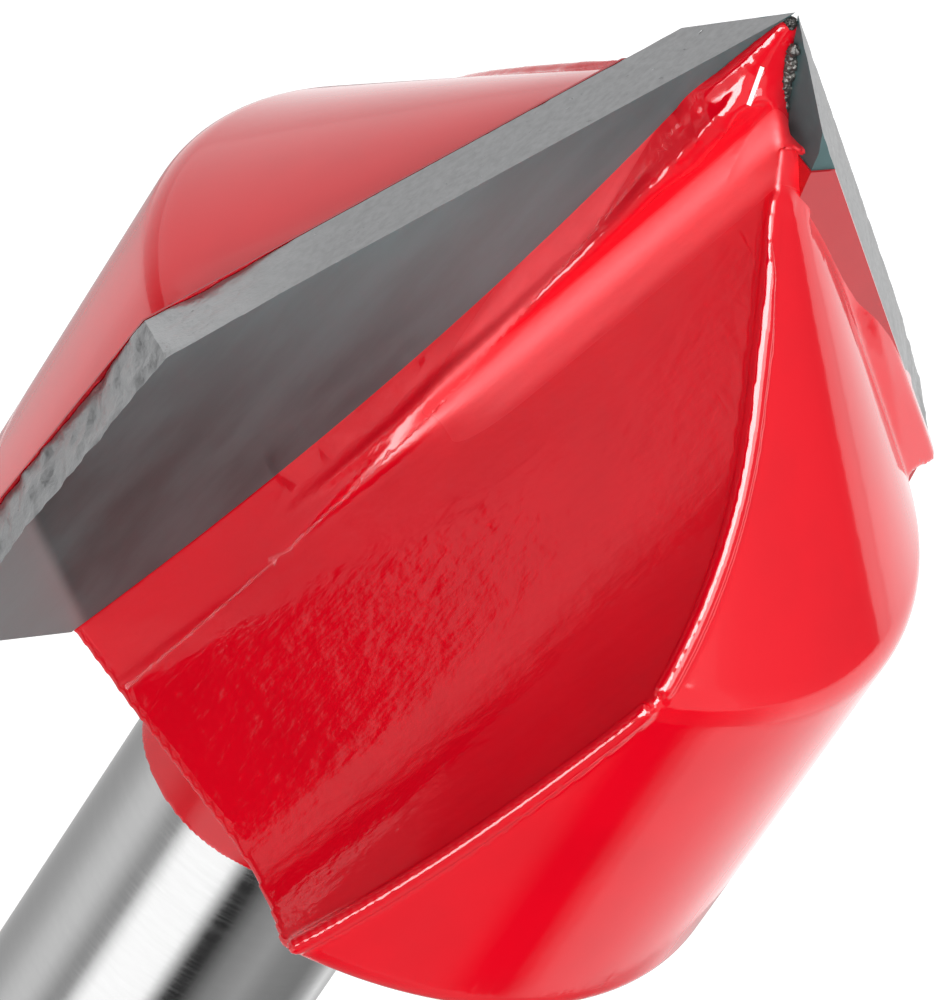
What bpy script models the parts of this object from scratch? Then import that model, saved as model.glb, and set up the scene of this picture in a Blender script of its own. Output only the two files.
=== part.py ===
"""A two-flute V groove router bit: a turned and milled steel body with two brazed carbide plates.

Metres, +Z up. The origin is the middle of the shank's end face and the point is at the top.
Each plate and its gullet are laid out in a rake frame at the point: u runs outwards in the rake
face, v stands square to the rake face on its cutting side, and w runs up the bit in the rake face.
"""

import math

import bmesh
import bpy
from mathutils import Matrix, Vector

MM = 0.001

# Shank
SHANK_DIAMETER = 8.0 * MM
SHANK_LENGTH = 32.0 * MM
SHANK_CHAMFER = 0.4 * MM

# Turned head
HEAD_LENGTH = 24.5 * MM
BODY_DIAMETER = 22.0 * MM
CORNER_BELOW_POINT = 13.3 * MM
BODY_CONE_HALF_ANGLE = math.radians(43.2)
NOSE_DIAMETER = 0.5 * MM
NECK_FILLET = 1.5 * MM
RIM_FILLET = 0.5 * MM
CORNER_FILLET = 1.5 * MM

# Cutting edges and carbide plates
CUTTING_DIAMETER = 25.0 * MM
V_ANGLE = math.radians(90.0)
HOOK_ANGLE = math.radians(10.0)
FLANK_RELIEF = math.radians(23.0)
SIDE_RELIEF = math.radians(20.0)
PLATE_THICKNESS = 1.6 * MM
POINT_GRIND_LENGTH = 3.2 * MM
POINT_FACET_LENGTH = 1.9 * MM
POINT_CLEARANCE = 0.03 * MM
BRAZE_FILM = 0.06 * MM
FILM_CLEARANCE = 0.02 * MM

# Plate seats: a disc mill stands its inner wall, and leaves a ledge in front of the plate
SEAT_MILL_RADIUS = 59.5 * MM
SEAT_WALL_AT_POINT = 1.0 * MM
SEAT_MILL_CENTRE_RISE = 1.7 * MM
LEDGE_HEIGHT = 0.95 * MM
SEAT_OVERRUN = 5.0 * MM
SEAT_OUTWARD_ROOM = 6.0 * MM

# Gullets: a larger disc mill with a rounded shoulder
GULLET_MILL_RADIUS = 119.0 * MM
GULLET_DEPTH_PAST_AXIS = 4.05 * MM
GULLET_MILL_CENTRE_RISE = 25.8 * MM
GULLET_CORNER = 0.9 * MM
GULLET_FLAT = 6.0 * MM
GULLET_SHOULDER = 8.4 * MM
GULLET_CURL = math.radians(54.0)
GULLET_OVERRUN = 6.0 * MM

# Pads that back the plates on the cone
PAD_TOP_BELOW_POINT = 3.4 * MM
PAD_FLARE_BELOW_POINT = 8.1 * MM
PAD_BOTTOM_BELOW_POINT = 13.25 * MM
PAD_LAND = 0.6 * MM
PAD_TOP_WALL = 0.2 * MM
PAD_BOTTOM_WALL = 0.55 * MM
PAD_SET_BACK = 0.05 * MM
PAD_TOP_INSET = 0.6 * MM
PAD_ROOT = 1.5 * MM

# Web left between the gullets, from the body's nose up to just under the point
WEB_TIP_BELOW_POINT = 0.4 * MM
WEB_TIP_THICKNESS = 0.2 * MM
WEB_NECK_BELOW_POINT = 1.7 * MM
WEB_NECK_THICKNESS = 0.6 * MM
WEB_LEDGE_BELOW_POINT = 3.2 * MM
WEB_FOOT_BELOW_POINT = 6.0 * MM
WEB_THICKNESS = 1.6 * MM
WEB_WIDTH = 4.0 * MM
WEB_SET_BACK = 0.3 * MM

SHARP_ANGLE = math.radians(30.0)
ROUND_STEPS = 180
FILLET_STEPS = 8
SHOULDER_STEPS = 16
MILL_STEPS = 40
SEEK_STEPS = 20

TOTAL_LENGTH = SHANK_LENGTH + HEAD_LENGTH
POINT = Vector((0.0, 0.0, TOTAL_LENGTH))
CUTTING_RADIUS = CUTTING_DIAMETER / 2
BEDDING = BRAZE_FILM + 2 * FILM_CLEARANCE
BODY_RADIUS = BODY_DIAMETER / 2
V_HALF_ANGLE = V_ANGLE / 2
V_HEIGHT = CUTTING_RADIUS / math.tan(V_HALF_ANGLE)
SIDES = {"left": 0.0, "right": math.pi}

RED_ENAMEL = ("red_enamel", (0.62, 0.005, 0.016, 1.0), 0.16, 0.0)
CARBIDE = ("sintered_carbide", (0.085, 0.087, 0.09, 1.0), 0.42, 0.85)
BRAZE = ("braze_alloy", (0.42, 0.36, 0.25, 1.0), 0.45, 0.9)


def clear_scene():
    for obj in list(bpy.data.objects):
        bpy.data.objects.remove(obj, do_unlink=True)


def make_material(name, colour, roughness, metallic):
    material = bpy.data.materials.new(name)
    material.use_nodes = True
    shader = material.node_tree.nodes["Principled BSDF"]
    shader.inputs["Base Color"].default_value = colour
    shader.inputs["Roughness"].default_value = roughness
    shader.inputs["Metallic"].default_value = metallic
    material.diffuse_color = colour
    return material


def add_object(name, bm, material=None):
    """Makes an object of the finished bmesh. Without a material it is a hidden helper."""
    bmesh.ops.recalc_face_normals(bm, faces=bm.faces)
    mesh = bpy.data.meshes.new(name)
    bm.to_mesh(mesh)
    bm.free()
    obj = bpy.data.objects.new(name, mesh)
    bpy.context.scene.collection.objects.link(obj)
    if material is None:
        obj.hide_render = True
        obj.display_type = "WIRE"
    else:
        mesh.materials.append(material)
        shade(mesh)
    return obj


def shade(mesh):
    """Round stretches smooth, and every true edge sharp."""
    mesh.shade_smooth()
    mesh.set_sharp_from_angle(angle=SHARP_ANGLE)


def loft(rings):
    """A closed solid through rings of equal count, with both end rings filled."""
    bm = bmesh.new()
    made = [[bm.verts.new(point) for point in ring] for ring in rings]
    count = len(made[0])
    for lower, upper in zip(made, made[1:]):
        for i in range(count):
            j = (i + 1) % count
            bm.faces.new((lower[i], lower[j], upper[j], upper[i]))
    bm.faces.new(list(reversed(made[0])))
    bm.faces.new(made[-1])
    return bm


def arc(centre, radius, start, end, steps):
    """Points of an arc in a plane, from one angle to the other, both ends included."""
    turns = (start + (end - start) * i / steps for i in range(steps + 1))
    return [(centre[0] + radius * math.cos(a), centre[1] + radius * math.sin(a)) for a in turns]


def boolean(obj, operation, *others):
    """Joins the helpers to the object or cuts them from it, and takes them out of the scene."""
    for other in others:
        modifier = obj.modifiers.new(f"{operation.lower()} {other.name}", "BOOLEAN")
        modifier.operation = operation
        modifier.solver = "EXACT"
        modifier.object = other
    graph = bpy.context.evaluated_depsgraph_get()
    finished = bpy.data.meshes.new_from_object(obj.evaluated_get(graph))
    obj.modifiers.clear()
    obj.data = finished
    shade(finished)
    for other in others:
        bpy.data.objects.remove(other, do_unlink=True)


def rake_frame(turn):
    """The rake frame of a plate, as a matrix. The first plate reaches out along +X."""
    square_up = Vector((math.cos(V_HALF_ANGLE), 0.0, math.sin(V_HALF_ANGLE)))
    across = Vector((0.0, math.cos(HOOK_ANGLE), 0.0)) - square_up * math.sin(HOOK_ANGLE)
    upward = (Vector((0.0, 0.0, 1.0)) - across * across.z).normalized()
    outward = across.cross(upward)
    axes = Matrix((outward, across, upward)).transposed().to_4x4()
    return Matrix.Translation(POINT) @ Matrix.Rotation(turn, 4, "Z") @ axes


FRAME = rake_frame(0.0)
TO_RAKE = FRAME.inverted()
RAKE_NORMAL = FRAME.col[1].to_3d()


def on_rake(x, z):
    """The (u, w) of the rake face's point at this distance from the axis and height over the point."""
    y = -(RAKE_NORMAL.x * x + RAKE_NORMAL.z * z) / RAKE_NORMAL.y
    local = TO_RAKE @ (POINT + Vector((x, y, z)))
    return local.x, local.z


def body_profile():
    """(radius, height over the point) of the turned body, from the shank's end up to its blunt nose."""
    shank = SHANK_DIAMETER / 2
    rear = -HEAD_LENGTH
    corner = -CORNER_BELOW_POINT
    neck = arc((shank + NECK_FILLET, rear - NECK_FILLET), NECK_FILLET, math.pi, math.pi / 2, FILLET_STEPS)
    rim = arc((BODY_RADIUS - RIM_FILLET, rear + RIM_FILLET), RIM_FILLET, -math.pi / 2, 0.0, FILLET_STEPS)
    bend = BODY_CONE_HALF_ANGLE
    back = CORNER_FILLET * math.tan(bend / 2)
    shoulder = arc(
        (BODY_RADIUS - CORNER_FILLET, corner - back),
        CORNER_FILLET,
        0.0,
        bend,
        FILLET_STEPS,
    )
    nose = NOSE_DIAMETER / 2
    top = corner + (BODY_RADIUS - nose) / math.tan(bend)
    foot = [(shank - SHANK_CHAMFER, -TOTAL_LENGTH), (shank, -TOTAL_LENGTH + SHANK_CHAMFER)]
    return foot + neck + rim + shoulder + [(nose, top)]


def cone_radius(height):
    """The body cone's radius at this height over the point."""
    return BODY_RADIUS + (-CORNER_BELOW_POINT - height) * math.tan(BODY_CONE_HALF_ANGLE)


def turned(profile, steps):
    """A closed solid turned about the axis from (radius, height over the point) pairs."""
    rings = []
    for radius, height in profile:
        turns = (2 * math.pi * i / steps for i in range(steps))
        rings.append([POINT + Vector((radius * math.cos(t), radius * math.sin(t), height)) for t in turns])
    return loft(rings)


def disc_cut(name, turn, profile, radius, centre_u, centre_w, first_w, last_w):
    """The path of a disc mill that turns about a line square to the rake face.

    The profile holds (distance in from the rim, v), and None stands for well outside the body."""
    frame = rake_frame(turn)
    outside = CUTTING_DIAMETER
    rings = []
    for i in range(MILL_STEPS + 1):
        w = first_w + (last_w - first_w) * i / MILL_STEPS
        ring = []
        for inset, v in profile:
            u = outside
            if inset is not None:
                u = centre_u - math.sqrt((radius - inset) ** 2 - (centre_w - w) ** 2)
            ring.append(frame @ Vector((u, v, w)))
        rings.append(ring)
    return add_object(name, loft(rings))


def gullet_cut(side, turn):
    """The gullet in front of a plate: a flat floor with a rounded shoulder up to the heel."""
    floor_start = (GULLET_CORNER, LEDGE_HEIGHT + GULLET_CORNER)
    corner = arc(floor_start, GULLET_CORNER, -math.pi / 2, -math.pi, FILLET_STEPS)
    floor_end = (GULLET_SHOULDER, LEDGE_HEIGHT + GULLET_FLAT)
    shoulder = arc(floor_end, GULLET_SHOULDER, math.pi, math.pi - GULLET_CURL, SHOULDER_STEPS)
    profile = [(None, LEDGE_HEIGHT)] + corner + shoulder + [(None, shoulder[-1][1])]
    centre_u = GULLET_MILL_RADIUS - GULLET_DEPTH_PAST_AXIS
    return disc_cut(
        f"gullet_cut_{side}",
        turn,
        profile,
        GULLET_MILL_RADIUS,
        centre_u,
        GULLET_MILL_CENTRE_RISE,
        GULLET_OVERRUN,
        -HEAD_LENGTH - GULLET_OVERRUN,
    )


def seat_wall(w):
    """How far out the seat's inner wall stands at this height: a mill's arc, then straight to the point."""
    if w > -POINT_GRIND_LENGTH:
        return seat_wall(-POINT_GRIND_LENGTH) * w / -POINT_GRIND_LENGTH
    drop = SEAT_MILL_CENTRE_RISE - w
    return SEAT_MILL_RADIUS + SEAT_WALL_AT_POINT - math.sqrt(SEAT_MILL_RADIUS**2 - drop**2)


def seat_cut(side, turn):
    """The open seat of a plate, with its inner wall standing up past the rake face to the ledge."""
    frame = rake_frame(turn)
    floor = -PLATE_THICKNESS - BEDDING
    top = LEDGE_HEIGHT + GULLET_CORNER
    bottom = -HEAD_LENGTH - SEAT_OVERRUN
    rise = -POINT_GRIND_LENGTH - bottom
    heights = [POINT_GRIND_LENGTH / 2]
    heights += [bottom + rise * i / MILL_STEPS for i in range(MILL_STEPS, -1, -1)]
    rings = []
    for w in heights:
        near, far = seat_wall(w), CUTTING_DIAMETER
        section = [(far, floor), (near, floor), (near, top), (far, top)]
        rings.append([frame @ Vector((u, v, w)) for u, v in section])
    return add_object(f"seat_cut_{side}", loft(rings))


def plate_outline(depth, gap):
    """The plate's (u, w) outline at this depth behind its rake face, from the point round to the web."""
    flank = depth * math.tan(HOOK_ANGLE + FLANK_RELIEF)
    side_hook = math.atan2(-RAKE_NORMAL.x, RAKE_NORMAL.y)
    side = depth * math.tan(side_hook + SIDE_RELIEF)
    point = Vector(on_rake(0.0, 0.0))
    corner = Vector(on_rake(CUTTING_RADIUS, -V_HEIGHT))
    foot = Vector(on_rake(CUTTING_RADIUS, -HEAD_LENGTH))
    centre = Vector(on_rake(0.0, -HEAD_LENGTH))
    edge = (corner - point).normalized()
    down = (foot - corner).normalized()
    base = (centre - foot).normalized()
    flank_start = point + Vector((edge.y, -edge.x)) * flank
    side_start = corner + Vector((down.y, -down.x)) * side
    top = -POINT_GRIND_LENGTH
    shelf = Vector((seat_wall(top) + gap, top))
    web_side = shelf - point
    outline = [
        meet(flank_start, edge, shelf, web_side),
        meet(flank_start, edge, side_start, down),
        meet(side_start, down, foot, base),
    ]
    bottom = inner_corner(foot, base, gap)
    steps = FILLET_STEPS * 2
    for i in range(steps + 1):
        w = bottom + (top - bottom) * i / steps
        outline.append(Vector((seat_wall(w) + gap, w)))
    return outline


def inner_corner(foot, base, gap):
    """The height at which the plate's bottom edge meets the seat's wall."""
    w = foot.y
    for _ in range(SEEK_STEPS):
        u = seat_wall(w) + gap
        w = foot.y + base.y / base.x * (u - foot.x)
    return w


def meet(first, along, second, across):
    """Where two lines of the plane cross."""
    gap = second - first
    spread = along.x * across.y - along.y * across.x
    return first + along * ((gap.x * across.y - gap.y * across.x) / spread)


def plate_solid(turn, gap, front, back):
    """The plate's form between two depths behind the rake face, with its flanks relieved."""
    frame = rake_frame(turn)
    rings = []
    for depth in (front, back):
        rings.append([frame @ Vector((p.x, -depth, p.y)) for p in plate_outline(depth, gap)])
    return loft(rings)


def grind_point(bm, turn):
    """Takes the plate's back off towards the point, so that its flank narrows to nothing there."""
    frame = rake_frame(turn)
    outline = plate_outline(PLATE_THICKNESS, BEDDING)
    start = plate_outline(POINT_CLEARANCE, BEDDING)[0]
    edge = (outline[1] - outline[0]).normalized()
    top = outline[0] + edge * POINT_FACET_LENGTH
    tip = Vector((start.x, -POINT_CLEARANCE, start.y))
    first = Vector((top.x, -PLATE_THICKNESS, top.y)) - tip
    second = Vector((outline[-1].x, -PLATE_THICKNESS, outline[-1].y)) - tip
    normal = first.cross(second)
    if normal.y > 0:
        normal = -normal
    slice_off(bm, frame @ tip, frame.to_3x3() @ normal)


def slice_off(bm, place, normal):
    """Cuts the solid at a plane, takes off what lies on the normal's side and closes the cut."""
    cut = bmesh.ops.bisect_plane(
        bm,
        geom=bm.verts[:] + bm.edges[:] + bm.faces[:],
        dist=1e-8,
        plane_co=place,
        plane_no=normal,
        clear_outer=True,
    )
    edges = [item for item in cut["geom_cut"] if isinstance(item, bmesh.types.BMEdge)]
    bmesh.ops.contextual_create(bm, geom=edges)


def carbide_plate(side, turn, material):
    bm = plate_solid(turn, BEDDING, POINT_CLEARANCE, PLATE_THICKNESS)
    grind_point(bm, turn)
    return add_object(f"carbide_plate_{side}", bm, material)


def braze_film(side, turn, material):
    """The braze between a plate and its seat: a film behind the plate and along its inner edge."""
    bm = plate_solid(turn, FILM_CLEARANCE, BEDDING, PLATE_THICKNESS + BEDDING - FILM_CLEARANCE)
    up = Vector((0.0, 0.0, 1.0))
    slice_off(bm, POINT - up * (PAD_TOP_BELOW_POINT + BEDDING), up)
    film = add_object(f"braze_film_{side}", bm, material)
    frame = rake_frame(turn)
    outline = plate_outline(-SEAT_OUTWARD_ROOM, BEDDING - FILM_CLEARANCE)
    rings = []
    for depth in (-BEDDING, PLATE_THICKNESS + FILM_CLEARANCE):
        rings.append([frame @ Vector((p.x, -depth, p.y)) for p in outline])
    boolean(film, "DIFFERENCE", add_object(f"plate_room_{side}", loft(rings)))


def body_surface(depth, w):
    """How far out (u) the turned body reaches, this deep behind the rake face and at this height."""
    u = BODY_RADIUS
    for _ in range(SEEK_STEPS):
        place = FRAME @ Vector((u, -depth, w)) - POINT
        radius = max(min(cone_radius(place.z), BODY_RADIUS), 0.0)
        u += math.sqrt(max(radius**2 - place.y**2, 0.0)) - place.x
    return u


def pad_section(w, land, wall):
    """The pad's (u, v) outline at this height: a land behind the flank, then a wall down to the cone."""
    back = PLATE_THICKNESS + BEDDING + land
    foot = back + wall
    rise = max(body_surface(foot, w), PAD_TOP_INSET)
    edge = -w * math.tan(V_HALF_ANGLE) - PAD_SET_BACK
    fall = math.tan(HOOK_ANGLE + FLANK_RELIEF) / math.cos(V_HALF_ANGLE)
    inside = max(rise - PAD_ROOT, PAD_TOP_INSET / 2)
    section = [(inside, 0.0), (edge, 0.0), (edge - back * fall, -back), (rise, -foot), (inside, -foot)]
    return [Vector((u, v, w)) for u, v in section]


def pad_solid(side, turn):
    """The pad that backs a plate. It runs down close behind the plate, then flares and ends level."""
    frame = rake_frame(turn)
    steps = FILLET_STEPS
    fall = (PAD_TOP_BELOW_POINT - PAD_FLARE_BELOW_POINT) / steps
    heights = [-PAD_TOP_BELOW_POINT + fall * i for i in range(steps + 1)]
    sections = [pad_section(w, 0.0, PAD_TOP_WALL) for w in heights]
    sections.append(pad_section(-PAD_BOTTOM_BELOW_POINT, PAD_LAND, PAD_BOTTOM_WALL))
    rings = [[frame @ point for point in section] for section in sections]
    return add_object(f"pad_{side}", loft(rings))


def web_section(below, thickness):
    """The web's outline at this distance below the point, the same when turned half a turn."""
    reach = min(below * math.tan(V_HALF_ANGLE) - WEB_SET_BACK, WEB_WIDTH / 2)
    half = thickness / 2
    heel = half * WEB_SET_BACK / (WEB_THICKNESS / 2)
    outline = [(reach, half), (-heel, half), (-reach, 0.0), (-reach, -half), (heel, -half), (reach, 0.0)]
    return [POINT + Vector((x, y, -below)) for x, y in outline]


def web_core():
    """The web between the gullets: it carries both ledges, and thins to a ridge between the plates."""
    sections = (
        web_section(WEB_FOOT_BELOW_POINT, WEB_THICKNESS),
        web_section(WEB_LEDGE_BELOW_POINT, WEB_THICKNESS),
        web_section(WEB_NECK_BELOW_POINT, WEB_NECK_THICKNESS),
        web_section(WEB_TIP_BELOW_POINT, WEB_TIP_THICKNESS),
    )
    return add_object("web_core", loft(sections))


def cutter_body(material):
    body = add_object("cutter_body", turned(body_profile(), ROUND_STEPS), material)
    boolean(body, "UNION", web_core())
    boolean(body, "UNION", *(pad_solid(side, turn) for side, turn in SIDES.items()))
    for side, turn in SIDES.items():
        boolean(body, "DIFFERENCE", seat_cut(side, turn), gullet_cut(side, turn))


def main():
    clear_scene()
    cutter_body(make_material(*RED_ENAMEL))
    carbide = make_material(*CARBIDE)
    braze = make_material(*BRAZE)
    for side, turn in SIDES.items():
        carbide_plate(side, turn, carbide)
        braze_film(side, turn, braze)


main()
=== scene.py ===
"""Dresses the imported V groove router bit: thick red enamel over the milled head, a bare ground shank,
two ground carbide plates and the braze that holds them, on a pale studio floor."""

import math
from contextlib import contextmanager

import bpy
import numpy as np
from bpy.props import FloatProperty, FloatVectorProperty, IntProperty, PointerProperty
from mathutils import Matrix, Vector, noise


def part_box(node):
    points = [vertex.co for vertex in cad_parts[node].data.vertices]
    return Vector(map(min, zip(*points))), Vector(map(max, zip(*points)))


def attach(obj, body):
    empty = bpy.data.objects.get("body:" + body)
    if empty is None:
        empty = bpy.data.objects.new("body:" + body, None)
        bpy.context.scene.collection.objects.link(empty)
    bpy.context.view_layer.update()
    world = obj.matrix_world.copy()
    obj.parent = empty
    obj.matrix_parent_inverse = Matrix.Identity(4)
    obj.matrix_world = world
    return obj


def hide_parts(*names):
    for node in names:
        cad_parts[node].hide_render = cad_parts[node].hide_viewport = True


bl_info = {
    "name": "V groove router bit",
    "version": (1, 0, 0),
    "blender": (4, 5, 0),
    "location": "3D View > Sidebar > Router Bit",
    "description": "Dresses the V groove router bit and sets its studio",
    "category": "Object",
}

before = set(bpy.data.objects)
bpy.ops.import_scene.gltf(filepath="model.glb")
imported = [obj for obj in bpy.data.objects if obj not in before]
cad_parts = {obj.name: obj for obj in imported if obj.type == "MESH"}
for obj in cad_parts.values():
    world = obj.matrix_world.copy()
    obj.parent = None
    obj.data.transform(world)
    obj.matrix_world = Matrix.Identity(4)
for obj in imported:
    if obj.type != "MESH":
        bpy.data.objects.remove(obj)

MM = 0.001
BODY = "cutter_body"
SIDES = {"left": 0.0, "right": math.pi}

# The bit's own sizes: its point, head and shank, then each plate, the wall of its seat and its pad
POINT = Vector((0.0, 0.0, 56.5 * MM))
HEAD_REAR = 32.0 * MM
DRUM_TOP = 43.2 * MM
DRUM_RADIUS = 11.0 * MM
CONE_HALF_ANGLE = math.radians(43.2)
SHANK_RADIUS = 4.0 * MM
SHANK_CHAMFER = 0.4 * MM
V_HALF_ANGLE = math.radians(45.0)
HOOK_ANGLE = math.radians(10.0)
PLATE_LOW, PLATE_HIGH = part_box("carbide_plate_left")
PLATE_THICKNESS = 1.6 * MM
SEAT_WALL = 1.2 * MM
PAD_TOP = 3.4 * MM

# Meshing: how near points merge, how flat or sharp faces meet, and how many triangles the enamel keeps
MERGE_DISTANCE = 0.0005 * MM
FLAT_ANGLE = math.radians(0.5)
SHARP_ANGLE = math.radians(25)
SHANK_SHARP_ANGLE = math.radians(12)
MOST_TRIANGLES = 190000

# Enamel: how deep and how low the milled faces lie, how each pad is ground, and the wavy end on the shank
MILLED_DEPTHS = (0.3 * MM, 0.9 * MM)
MILLED_LOW = HEAD_REAR + 0.2 * MM
PAD_HIGH = POINT.z - 2 * MM
PAD_BACK, PAD_FRONT = -6 * MM, -1.2 * MM
LEFT_PAD_GROUND = 0.7
RIGHT_PAD_GROUND = 0.6
RIGHT_PAD_BLEND = (4.5 * MM, 10 * MM)
RAGGED_HEIGHT = 2 * MM
RAGGED_WAVE = 0.2 * MM
WAVES_PER_METRE = 250.0

# The enamel's lap on a plate's inner edge: its width in millimetres, what the point adds, and its place
EDGE_LAP = 0.06
POINT_LAP = 0.1
POINT_LAP_FADE = (2.5 * MM, 4.5 * MM)
EDGE_LAP_RISE = (-0.5 * MM, -0.2 * MM)
EDGE_LAP_FALL = (0.2 * MM, 0.6 * MM)
EDGE_LAP_TOP = 0.3 * MM
EDGE_LAP_REACH = 4.5 * MM

# The enamel's lap on the back of a plate, and its place
BACK_LAP = 0.12 * MM
BACK_LAP_RISE = (-2.2 * MM, -1.75 * MM)
BACK_LAP_END = -1.5 * MM
BACK_LAP_INNER = 2 * MM
BACK_LAP_LOW = 23.5 * MM

# Where a flute's edge gets a bead: near the turned outline, between two heights, and clear of the plate
OUTLINE_REACH = 0.06 * MM
BEAD_LOW = HEAD_REAR + 0.1 * MM
BEAD_HIGH = POINT.z - 3.6 * MM
BEAD_OFF_PLATE = 2.5 * MM
BEAD_INNER_END = -1.0 * MM

# The bead on the ledge beside a plate: places in millimetres in the rake frame, and its size there
LEDGE_BEAD = (
    ((0.6, 0.65, -2.2), 0.6),
    ((0.8, 0.9, -3.1), 1.0),
    ((0.85, 0.85, -4.6), 1.35),
    ((1.3, 0.85, -5.6), 1.1),
    ((1.5, 0.85, -7.7), 1.0),
    ((1.85, 0.88, -9.2), 0.95),
    ((2.15, 0.9, -10.7), 1.0),
    ((2.5, 0.95, -12.1), 1.15),
    ((2.8, 0.95, -13.3), 1.2),
    ((3.25, 1.0, -14.9), 0.9),
    ((3.78, 1.0, -16.6), 0.8),
    ((4.3, 1.0, -18.2), 0.65),
    ((4.9, 0.97, -19.8), 0.4),
)

# The slit through the web: its middle, its width, length and depth, and its lean in the picture
SLIT_CENTRE = Vector((0.31, 0.47, 54.42)) * MM
SLIT_SIZE = (0.11 * MM, 1.0 * MM, 7.0 * MM)
SLIT_LEAN = math.radians(-19.7)

# The raw part of a plate's side: where it starts, where it calms down again, and its deepest pit
RAW_START = (9.0 * MM, 12.5 * MM)
RAW_CALM = (20.0 * MM, 24.0 * MM)
DEEPEST_PIT = 0.28 * MM

# The run of braze crust on the web and the lump under the point, in millimetres, placed in the rake frame
RESIDUE_LUMPS = 26
RESIDUE_TOP = (0.28, -0.14, -0.95)
RESIDUE_RUN = (0.75, 0.0, -1.95)
RESIDUE_SEED = 112
RESIDUE_WOBBLE = 31.0
RESIDUE_RADIUS = 0.14
RESIDUE_VARIATION = 0.1
RESIDUE_SPREAD = 0.13
RESIDUE_GRAIN = 0.025
RESIDUE_CRUST = 0.05
POINT_LUMP_RADIUS = 0.17
POINT_LUMP_DROP = 0.36

# The shank's mesh: its sides, how far it runs on under the enamel, and its rounded edges
SHANK_SIDES = 256
SHANK_OVERLAP = 1.0 * MM
SHANK_EDGE_ROUND = 0.06 * MM

# Heights of the bumps in each finish
ENAMEL_RIPPLE = 0.004 * MM
STEEL_SCRATCH = 0.0012 * MM
RAKE_SCRATCH = 0.003 * MM
FLANK_SCRATCH = 0.01 * MM
BRAZE_CRUST = 0.03 * MM

# The camera's place, and the direction in which the object's picture was taken
CAMERA_PLACE = Vector((140.108, 119.869, 162.349)) * MM
CAMERA_AZIMUTH = math.radians(40.531)
CAMERA_ELEVATION = math.radians(33.714)
CAMERA_ROLL = math.radians(33.897)
CAMERA_LENS = 331.43
SENSOR_WIDTH = 36.0

# The studio: what its lamps and cards look at, its floor with the glow that gloss sees, and its rings' height
AIM = Vector((0.0, 0.0, 42.0 * MM))
FLOOR_SIZE = 6.0
FLOOR_GLOW = 0.45
RING_HEIGHT = 0.3 * MM
WHITE = (1, 1, 1, 1)

# Brightness of the cards, as (place from 0 to 1, brightness), and of the rings, as (degrees, brightness)
FRONT_ACROSS = ((0.0, 0.0), (0.33, 0.0), (0.42, 1.0), (1.0, 1.0))
FRONT_UP = ((0.0, 0.08), (0.07, 0.12), (0.12, 0.45), (0.185, 0.8), (0.215, 0.75), (0.25, 0.0), (1.0, 0.0))
LOW_ACROSS = ((0.0, 0.0), (0.3, 14.0), (0.7, 14.0), (1.0, 0.0))
EYE_ACROSS = ((0.0, 0.0), (0.12, 19.0), (0.88, 19.0), (1.0, 0.0))
BACK_ACROSS = ((0.0, 0.8), (0.15, 0.6), (0.5, 0.4), (0.9, 0.2), (1.0, 0.2))
SIDE_ACROSS = ((0.0, 1.0), (0.3, 1.35), (0.7, 1.35), (1.0, 1.0))
SIDE_UP = ((0.0, 1.0), (0.3, 1.08), (0.7, 1.08), (1.0, 1.0))
EVEN = ((0.0, 1.0), (1.0, 1.0))
INNER_RING = (
    (-180, 1.0), (-164, 0.6), (-133, 0.62), (-108, 0.48), (-92, 0.44), (-80, 0.46), (-69, 0.52), (-59, 0.62),
    (-50, 0.75), (-40, 0.84), (-30, 0.84), (-21, 0.66), (-12, 0.42), (-4, 0.42), (3, 1.15), (10, 1.6),
    (44, 1.6), (51, 0.7), (57, 0.03), (66, 0.03), (73, 0.17), (82, 0.33), (103, 0.48), (120, 0.34),
    (148, 0.27), (164, 0.5), (180, 1.0),
)
OUTER_RING = (
    (-180, 1.3), (-165, 1.3), (-147, 0.9), (-132, 0.46), (-122, 0.5), (-107, 0.6), (-92, 0.95), (-81, 1.2),
    (0, 1.0), (60, 0.4), (90, 0.4), (103, 0.3), (111, 0.0), (121, 0.0), (132, 0.95), (150, 0.95), (180, 1.3),
)
FAR_RING = (
    (-180, 1.25), (-165, 1.25), (-135, 1.1), (-120, 1.2), (-100, 1.1), (-75, 0.9), (-58, 0.3), (-46, 0.05),
    (-30, 0.1), (0, 0.15), (20, 0.5), (40, 0.5), (75, 0.4), (100, 0.15), (120, 0.1), (135, 0.5), (150, 1.3),
    (180, 1.25),
)


def rake_frame(turn):
    """Maps (u outwards in the rake face, v off its cutting side, w up the bit) to the part's frame."""
    square_up = Vector((math.cos(V_HALF_ANGLE), 0.0, math.sin(V_HALF_ANGLE)))
    across = Vector((0.0, math.cos(HOOK_ANGLE), 0.0)) - square_up * math.sin(HOOK_ANGLE)
    upward = (Vector((0.0, 0.0, 1.0)) - across * across.z).normalized()
    axes = Matrix((across.cross(upward), across, upward)).transposed().to_4x4()
    return Matrix.Translation(POINT) @ Matrix.Rotation(turn, 4, "Z") @ axes


RAKE_FRAMES = {side: rake_frame(turn) for side, turn in SIDES.items()}


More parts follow.
